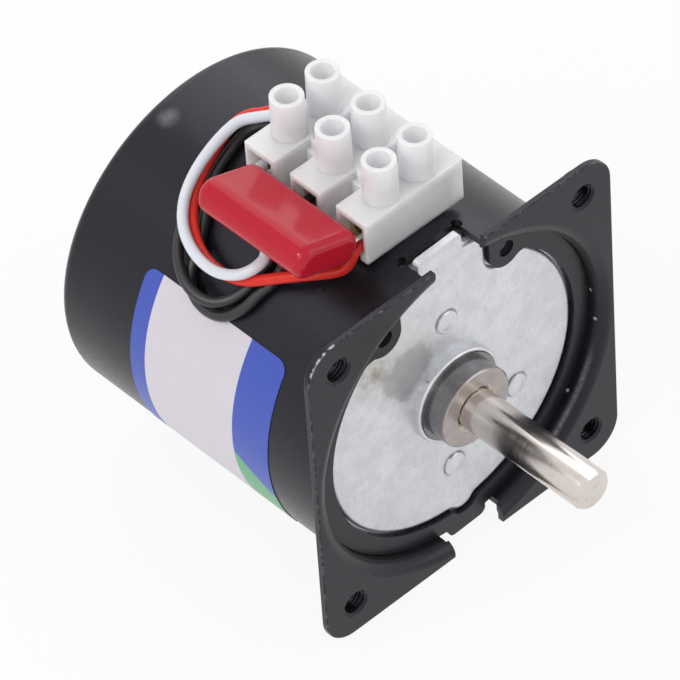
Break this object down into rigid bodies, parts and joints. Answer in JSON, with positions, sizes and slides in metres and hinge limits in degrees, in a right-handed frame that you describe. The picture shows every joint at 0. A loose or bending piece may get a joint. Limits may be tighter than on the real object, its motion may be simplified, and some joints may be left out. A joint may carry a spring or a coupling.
{
  "type": "synchronous gear motor",
  "caption": "Round permanent-magnet synchronous gear motor with a square tapped mounting flange, a central output shaft with a flat, a terminal block and a phasing capacitor.",
  "frame": {"origin": "on the output shaft's axis, at the flange's front mounting face, in the middle of its four tapped holes", "axes": "-Y along the output shaft, away from the can; +Z through the middle of the terminal block; +X to the right, seen from the shaft's end"},
  "size_m": [0.0628, 0.0868, 0.0767],
  "materials": {
    "black_steel": "satin black",
    "plated_cover": "satin die-cast zinc",
    "sintered_iron": "oiled sintered iron",
    "shaft_steel": "ground steel",
    "steel": "plain steel",
    "white_plastic": "translucent white moulding",
    "plated_screw": "zinc plated",
    "brass": "plain brass",
    "tinned_wire": "tinned wire",
    "red_resin": "glossy dipped resin",
    "label_film": "printed film",
    "rubber": "matte",
    "white_insulation": "soft vinyl",
    "red_insulation": "soft vinyl",
    "black_insulation": "soft vinyl",
    "bobbin_plastic": "moulded",
    "copper_wire": "enamelled wire",
    "ferrite": "ground ferrite"
  },
  "bodies": {
    "housing": {"motor_can": "black_steel", "front_ring": "black_steel", "gearbox_cover": "plated_cover", "gearbox_cup": "steel", "gear_spindles": "steel", "output_bush": "sintered_iron", "terminal_block": "white_plastic", "clamp_screws": "plated_screw", "block_screw": "plated_screw", "capacitor": "red_resin", "capacitor_wire_1": "tinned_wire", "capacitor_wire_2": "tinned_wire", "rating_label": "label_film", "lead_grommet": "rubber", "white_lead": "white_insulation", "red_lead": "red_insulation", "black_lead_1": "black_insulation", "black_lead_2": "black_insulation", "brass_insert_1": "brass", "brass_insert_2": "brass", "brass_insert_3": "brass", "pole_plate_1a": "steel", "pole_plate_1b": "steel", "pole_plate_2a": "steel", "pole_plate_2b": "steel", "coil_bobbin_1": "bobbin_plastic", "coil_bobbin_2": "bobbin_plastic", "coil_winding_1": "copper_wire", "coil_winding_2": "copper_wire", "rear_bearing_plate": "steel", "front_rotor_bush": "sintered_iron", "rear_rotor_bush": "sintered_iron"},
    "rotor": {"rotor_magnet": "ferrite", "rotor_hub": "bobbin_plastic", "rotor_shaft": "shaft_steel", "rotor_pinion": "steel"},
    "first_gear": {"first_wheel": "steel", "first_pinion": "steel"},
    "idler_gear": {"idler_wheel": "steel", "idler_pinion": "steel"},
    "third_gear": {"third_wheel": "steel", "third_pinion": "steel"},
    "fourth_gear": {"fourth_wheel": "steel", "fourth_pinion": "steel"},
    "output": {"output_shaft": "shaft_steel", "output_wheel": "steel", "thrust_washer": "steel"}
  },
  "joints": [
    {"name": "rotor_spin", "type": "hinge", "parent": "housing", "child": "rotor", "pos_m": [0, 0, 0], "axis": [0, 1, 0], "continuous": true},
    {"name": "first_gear_spin", "type": "hinge", "parent": "housing", "child": "first_gear", "pos_m": [-0.00054, 0, 0.01549], "axis": [0, 1, 0], "continuous": true},
    {"name": "idler_gear_spin", "type": "hinge", "parent": "housing", "child": "idler_gear", "pos_m": [0, 0, 0], "axis": [0, 1, 0], "continuous": true},
    {"name": "third_gear_spin", "type": "hinge", "parent": "housing", "child": "third_gear", "pos_m": [-0.00054, 0, -0.01549], "axis": [0, 1, 0], "continuous": true},
    {"name": "fourth_gear_spin", "type": "hinge", "parent": "housing", "child": "fourth_gear", "pos_m": [0.01314, 0, -0.00821], "axis": [0, 1, 0], "continuous": true},
    {"name": "output_spin", "type": "hinge", "parent": "housing", "child": "output", "pos_m": [0, 0, 0], "axis": [0, 1, 0], "continuous": true}
  ],
  "couplings": [
    {"joint": "first_gear_spin", "follows": "rotor_spin", "ratio": -0.40909},
    {"joint": "idler_gear_spin", "follows": "rotor_spin", "ratio": 0.16736},
    {"joint": "third_gear_spin", "follows": "rotor_spin", "ratio": -0.068464},
    {"joint": "fourth_gear_spin", "follows": "rotor_spin", "ratio": 0.028008},
    {"joint": "output_spin", "follows": "rotor_spin", "ratio": -0.013337}
  ]
}
